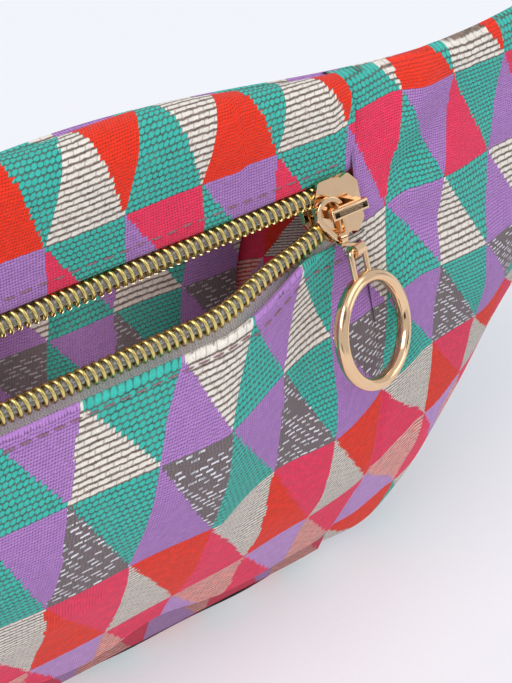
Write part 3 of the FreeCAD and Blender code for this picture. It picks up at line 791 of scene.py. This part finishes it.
def zip_half(name, x0, x1, low, place):
    """One stretch of coil, cord and tape, with the thread that sews the turns to the tape."""
    centre, side = (-COIL_OFFSET, "lower") if low else (COIL_OFFSET, "upper")
    coil = tube("zip_coil_" + name, coil_path(x0, x1, low), COIL_WIRE, 8, GOLD)
    line = [zip_point(x, centre, 0.02, low) for x in np.linspace(x0, x1, 160)]
    cord = tube("zip_cord_" + name, line, CORD_RADIUS, 10, CORD)
    edges = (-7.6, -1.6) if low else (1.6, 8.2)
    rows, uv = strip(x0, x1, 90, *edges, TAPE_LEVEL, low)
    tape = grid("zip_tape_" + name, rows, uv, TAPE, flip=x1 < x0)
    for obj, node, slot in ((coil, "zip_coil_", "coil_metal"), (cord, "zip_cord_", "zip_cord"),
                            (tape, "zip_tape_", "zip_tape")):
        place(obj)
        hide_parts(node + side)
    sewn = centre + (0.42 if low else -0.42)
    line = [zip_point(x, sewn, 0.98 + 0.05 * math.sin(x * 4.4), low) for x in np.linspace(x0, x1, 330)]
    sewing = tube("zip_thread_%s_0" % name, line, SEWING_RADIUS, 5, CORD)
    place(sewing)


def make_zip():
    zip_half("upper", -COIL_END, COIL_END, False, lambda o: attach(o, "root"))
    zip_half("lower_left", -COIL_END, 0.0, True, lambda o: line_blend(o))
    zip_half("lower_right", 0.0, COIL_END, True, lambda o: line_blend(o))


def stitches(name, line, normals, place):
    """A row of sewn stitches along points that lie on the cloth."""
    line, normals = np.array(line), np.array(normals)
    run = np.concatenate([[0], np.cumsum(np.linalg.norm(np.diff(line, axis=0), axis=1))])
    verts, faces, uvs = [], [], []
    length, gap, sides, rings = 2.1, 0.8, 6, 7
    s = 0.3
    while s + length < run[-1]:
        base = len(verts)
        for i in range(rings):
            t = i / (rings - 1.0)
            at = s + length * t
            p = np.array([np.interp(at, run, line[:, k]) for k in range(3)])
            n = np.array([np.interp(at, run, normals[:, k]) for k in range(3)])
            q = np.array([np.interp(at + 0.1, run, line[:, k]) for k in range(3)])
            d = (q - p) / max(np.linalg.norm(q - p), 1e-6)
            n = n / np.linalg.norm(n)
            b = np.cross(d, n)
            arch = math.sin(math.pi * t)
            radius = 0.17 * (0.35 + 0.65 * arch ** 0.5)
            c = p + n * (0.02 + 0.15 * arch)
            for k in range(sides):
                a = 2 * math.pi * k / sides
                verts.append(c + radius * (math.cos(a) * n + math.sin(a) * b))
                uvs.append((at, a * 0.26))
        for i in range(rings - 1):
            for k in range(sides):
                k2 = (k + 1) % sides
                here, there = base + i * sides, base + (i + 1) * sides
                faces.append((here + k, here + k2, there + k2, there + k))
        s += length + gap
    obj = new_object(name, verts, faces, STITCH, np.array(uvs))
    place(obj)
    return obj


def make_stitching(front):
    # row on the yoke, above its fold
    line, normals = [], []
    for x in np.linspace(-79.0, 79.0, 160):
        y = -19.22 - (slack(x, 100.9, 1.9, 0.55) * float(smooth((100.9 - 100.0) / 8.0)) - edge_tuck(x) * 0.8)
        line.append((x, y, 100.9 + 0.12 * math.sin(x * 0.7)))
        normals.append((0, -1, 0.05))
    stitches("stitch_yoke", line, normals, lambda o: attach(o, "root"))
    # row on the front, 2.6 mm below the lip's fold
    drop = []
    for i, x in enumerate(FRONT_X):
        row = front[i]
        fold = int(np.argmax(row[:, 2]))
        run = np.concatenate([[0], np.cumsum(np.linalg.norm(np.diff(row[fold:], axis=0), axis=1))])
        k = fold + int(np.argmin(np.abs(run - 2.7)))
        drop.append(row[k])
    drop = np.array(drop)
    for name, a, b, side in (("left", -79, -FULL_X, -1), ("middle", -FULL_X, FULL_X, 0),
                             ("right", FULL_X, 79, 1)):
        xs = np.linspace(a, b, 60)
        line = np.stack([xs, np.interp(xs, FRONT_X, drop[:, 1]), np.interp(xs, FRONT_X, drop[:, 2])], 1)
        stitches("stitch_front_" + name, line, [(0, -0.95, 0.3)] * len(xs), lambda o: lip_blend(o, side))


# ---- hardware ------------------------------------------------------------------------
def copy_of(node, material, bevel, body):
    """A CAD piece with its edges rounded off."""
    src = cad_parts[node]
    mesh = src.data.copy()
    obj = bpy.data.objects.new(node + "_finished", mesh)
    bpy.context.scene.collection.objects.link(obj)
    bm = bmesh.new()
    bm.from_mesh(mesh)
    bmesh.ops.remove_doubles(bm, verts=bm.verts, dist=0.000002)
    bmesh.ops.dissolve_limit(bm, angle_limit=math.radians(1.0), verts=bm.verts, edges=bm.edges)
    bm.to_mesh(mesh)
    bm.free()
    mesh.materials.clear()
    mesh.materials.append(material)
    mesh.polygons.foreach_set("use_smooth", [True] * len(mesh.polygons))
    mesh.set_sharp_from_angle(angle=math.radians(32))
    if bevel:
        mod = obj.modifiers.new("bevel", "BEVEL")
        mod.width = bevel * MM
        mod.segments = 3
        mod.limit_method = "ANGLE"
        mod.angle_limit = math.radians(32)
        mod.harden_normals = True
    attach(obj, body)
    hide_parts(node)
    return obj


PULL_LEVEL = 3.45
RING_RADIUS = 9.2
RING_TURN = math.radians(19.0)
RING_AT = np.array([0.6, -22.0, PULL_LEVEL])
LINK_TOP = -7.5


def slider_point(local):
    x, v, n = local
    return np.array([SLIDER_X + x, ZIP_Y, ZIP_Z]) + UP * v + OUT * n


def ring_point(x, v, n):
    """A point of the ring, given before the ring is turned to the side."""
    c, s = math.cos(RING_TURN), math.sin(RING_TURN)
    dx, dn = x - RING_AT[0], n - RING_AT[2]
    return slider_point((RING_AT[0] + dx * c + dn * s, v, RING_AT[2] - dx * s + dn * c))


def make_ring():
    """Ring turned from a round section with a groove beside each face."""
    section = []
    for k in range(26):
        a = 2 * math.pi * k / 26
        groove = 0.0
        for middle in (62.0, 298.0):
            groove += 0.30 * math.exp(-((math.degrees(a) - middle) / 13.0) ** 2)
        r = 1.12 - groove
        section.append((r * math.cos(a), r * math.sin(a) * 1.22))
    verts, uvs = [], []
    turns = 120
    for i in range(turns):
        t = 2 * math.pi * i / turns
        for a, b in section:
            rad = RING_RADIUS + a
            x, v = RING_AT[0] + rad * math.cos(t), RING_AT[1] + rad * math.sin(t)
            verts.append(ring_point(x, v, RING_AT[2] + b))
            uvs.append((t * RING_RADIUS, a))
    m = len(section)
    faces = []
    for i in range(turns):
        for k in range(m):
            here, there, k2 = i * m, ((i + 1) % turns) * m, (k + 1) % m
            faces.append((here + k, there + k, there + k2, here + k2))
    ring = new_object("ring", verts, faces, ROSE, np.array(uvs))
    path = []
    half, top, low = 1.95, LINK_TOP, RING_AT[1] + 8.6
    for x, v in ((-half, low), (-half, top - 0.8), (-half + 0.25, top - 0.15), (-half + 0.8, top),
                 (half - 0.8, top), (half - 0.25, top - 0.15), (half, top - 0.8), (half, low)):
        path.append((RING_AT[0] + x, v))
    smooth_path = resample(path, 60)
    link = tube("ring_link", [ring_point(x, v, PULL_LEVEL) for x, v in smooth_path], 0.52, 12, ROSE)
    for obj in (ring, link):
        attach(obj, "puller_ring")
        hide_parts("puller_ring")


def make_hardware():
    copy_of("slider_body", ROSE, 0.22, "slider")
    copy_of("slider_bridge", ROSE, 0.10, "slider")
    copy_of("puller_eye", ROSE, 0.18, "puller_eye")
    copy_of("puller_connector", ROSE, 0.10, "puller_connector")
    copy_of("slider_lock_spring", STEEL, 0.0, "slider")
    copy_of("zip_stop_open_end", GOLD, 0.2, "root")
    copy_of("zip_stops_closed_end", GOLD, 0.2, "root")
    make_ring()


# ---- strap -----------------------------------------------------------------------------
def strap_plan(s):
    """Plan point and direction of the right strap at length s from its start in the wing."""
    lead = STRAP_LEAD + STRAP_INSIDE
    bend = math.pi * STRAP_RADIUS
    x = HALF_LENGTH - 4.0
    if s <= lead:
        return (x + s, STRAP_START_Y, 1.0, 0.0)
    if s <= lead + bend:
        t = (s - lead) / STRAP_RADIUS
        return (x + lead + STRAP_RADIUS * math.sin(t), STRAP_START_Y + STRAP_RADIUS * (1 - math.cos(t)),
                math.cos(t), math.sin(t))
    return (x + lead - (s - lead - bend), STRAP_Y, -1.0, 0.0)


def make_strap(side, end_x, name):
    total = STRAP_LEAD + STRAP_INSIDE + math.pi * STRAP_RADIUS + (HALF_LENGTH + 6.05 - end_x)
    rows, uvs = [], []
    section = [(-0.7, -18.6), (-0.7, -9.0), (-0.7, 0.0), (-0.7, 9.0), (-0.7, 18.6), (-0.3, 19.0),
               (0.3, 19.0), (0.7, 18.6), (0.7, 9.0), (0.7, 0.0), (0.7, -9.0), (0.7, -18.6),
               (0.3, -19.0), (-0.3, -19.0), (-0.7, -18.6)]
    for s in np.linspace(0, total, 200):
        x, y, dx, dy = strap_plan(s)
        z = STRAP_HIGH + (STRAP_LOW - STRAP_HIGH) * float(smooth((s - 6.05) / STRAP_DROP))
        line, cells = [], []
        for t, h in section:
            line.append((side * (x - dy * t), y + dx * t, z + h))
            cells.append((h, s))
        rows.append(line)
        uvs.append(cells)
    obj = grid(name, np.array(rows), np.array(uvs), WEBBING, flip=side < 0)
    return obj


def make_straps():
    right = make_strap(1.0, 34.0, "webbing_right")
    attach(right, "root")
    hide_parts("strap_right")
    left = make_strap(-1.0, 14.3, "webbing_left")
    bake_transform(left)
    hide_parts("strap_left")
    for node, body in (("buckle_female", "root"), ("buckle_male", "buckle_plug"),
                       ("buckle_arm_upper", "buckle_arm_upper"), ("buckle_arm_lower", "buckle_arm_lower"),
                       ("tri_glide", "tri_glide")):
        copy_of(node, PLASTIC, 0.5, body)


# ---- surroundings --------------------------------------------------------------------
def make_stage():
    g = Nodes("floor_paper")
    n = g.noise(g.coord(), 900.0, 3.0)
    g.set(Base_Color=g.mix(n, (0.50, 0.50, 0.52), (0.53, 0.53, 0.55)), Roughness=0.7)
    g.bsdf.inputs["Emission Color"].default_value = (0.93, 0.94, 0.98, 1.0)
    g.bsdf.inputs["Emission Strength"].default_value = 0.38
    g.bump(n, 0.00004, 0.3)
    far = 6000.0
    corners = [(-far, -far, 0), (far, -far, 0), (far, far, 0), (-far, far, 0)]
    floor = new_object("floor", corners, [(0, 1, 2, 3)], g.mat)
    world = bpy.data.worlds.new("studio")
    bpy.context.scene.world = world
    world.use_nodes = True
    bg = world.node_tree.nodes["Background"]
    bg.inputs[0].default_value = (0.90, 0.93, 1.0, 1.0)
    bg.inputs[1].default_value = 0.76
    for name, at, size, power, colour in (("key", (-0.9, -0.5, 1.5), 1.1, 17.0, (1.0, 0.98, 0.95)),
                                          ("fill", (1.2, -1.0, 0.9), 1.2, 5.0, (0.96, 0.97, 1.0))):
        light = bpy.data.lights.new(name, "AREA")
        light.size = size
        light.energy = power
        light.color = colour
        obj = bpy.data.objects.new(name, light)
        bpy.context.scene.collection.objects.link(obj)
        obj.location = at
        obj.rotation_mode = "QUATERNION"
        obj.rotation_quaternion = (Vector(at) - Vector((0.04, -0.02, 0.06))).to_track_quat("Z", "Y")
    for i, x in enumerate((-0.02, 0.045)):
        light = bpy.data.lights.new("inside_%d" % i, "POINT")
        light.shadow_soft_size = 0.012
        light.energy = 0.022
        obj = bpy.data.objects.new("inside_%d" % i, light)
        bpy.context.scene.collection.objects.link(obj)
        obj.location = (x, -0.008, 0.062)
    # dark cards that only the metal sees
    dark = Nodes("card")
    dark.set(Base_Color=(0.05, 0.035, 0.03, 1.0), Roughness=0.9)
    for i, (centre, w, h) in enumerate((((-0.55, -0.75, 0.16), 0.5, 0.22), ((0.5, -0.8, 0.45), 0.35, 0.3))):
        c = Vector(centre)
        look = (Vector((0.07, -0.03, 0.08)) - c).normalized()
        side = look.cross(Vector((0, 0, 1))).normalized()
        up = side.cross(look)
        pts = [c + side * a * w / 2 + up * b * h / 2 for a, b in ((-1, -1), (1, -1), (1, 1), (-1, 1))]
        card = new_object("card_%d" % i, [tuple(p / MM) for p in pts], [(0, 1, 2, 3)], dark.mat)
        card.visible_camera = False
        card.visible_diffuse = False
        card.visible_shadow = False
        card.visible_transmission = False


def make_camera():
    data = bpy.data.cameras.new("camera")
    data.sensor_fit = "AUTO"
    data.sensor_width = 36.0
    data.lens = 97.25
    data.clip_start, data.clip_end = 0.01, 20.0
    cam = bpy.data.objects.new("camera", data)
    bpy.context.scene.collection.objects.link(cam)
    a, e = math.radians(35.5), math.radians(37.0)
    back = Vector((-math.sin(a) * math.cos(e), -math.cos(a) * math.cos(e), math.sin(e)))
    cam.location = (-0.08426, -0.22094, 0.25912)
    cam.rotation_mode = "QUATERNION"
    cam.rotation_quaternion = back.to_track_quat("Z", "Y") @ Quaternion((0, 0, 1), math.radians(-1.02))
    bpy.context.scene.camera = cam


front_rows = make_front()
make_yoke()
make_wing(1.0, "wing_right")
make_wing(-1.0, "wing_left")
make_back()
make_base()
make_linings()
make_zip()
make_stitching(front_rows)
make_hardware()
make_straps()
make_stage()
make_camera()
bpy.context.scene.view_settings.view_transform = "Standard"
bpy.context.scene.view_settings.look = "None"
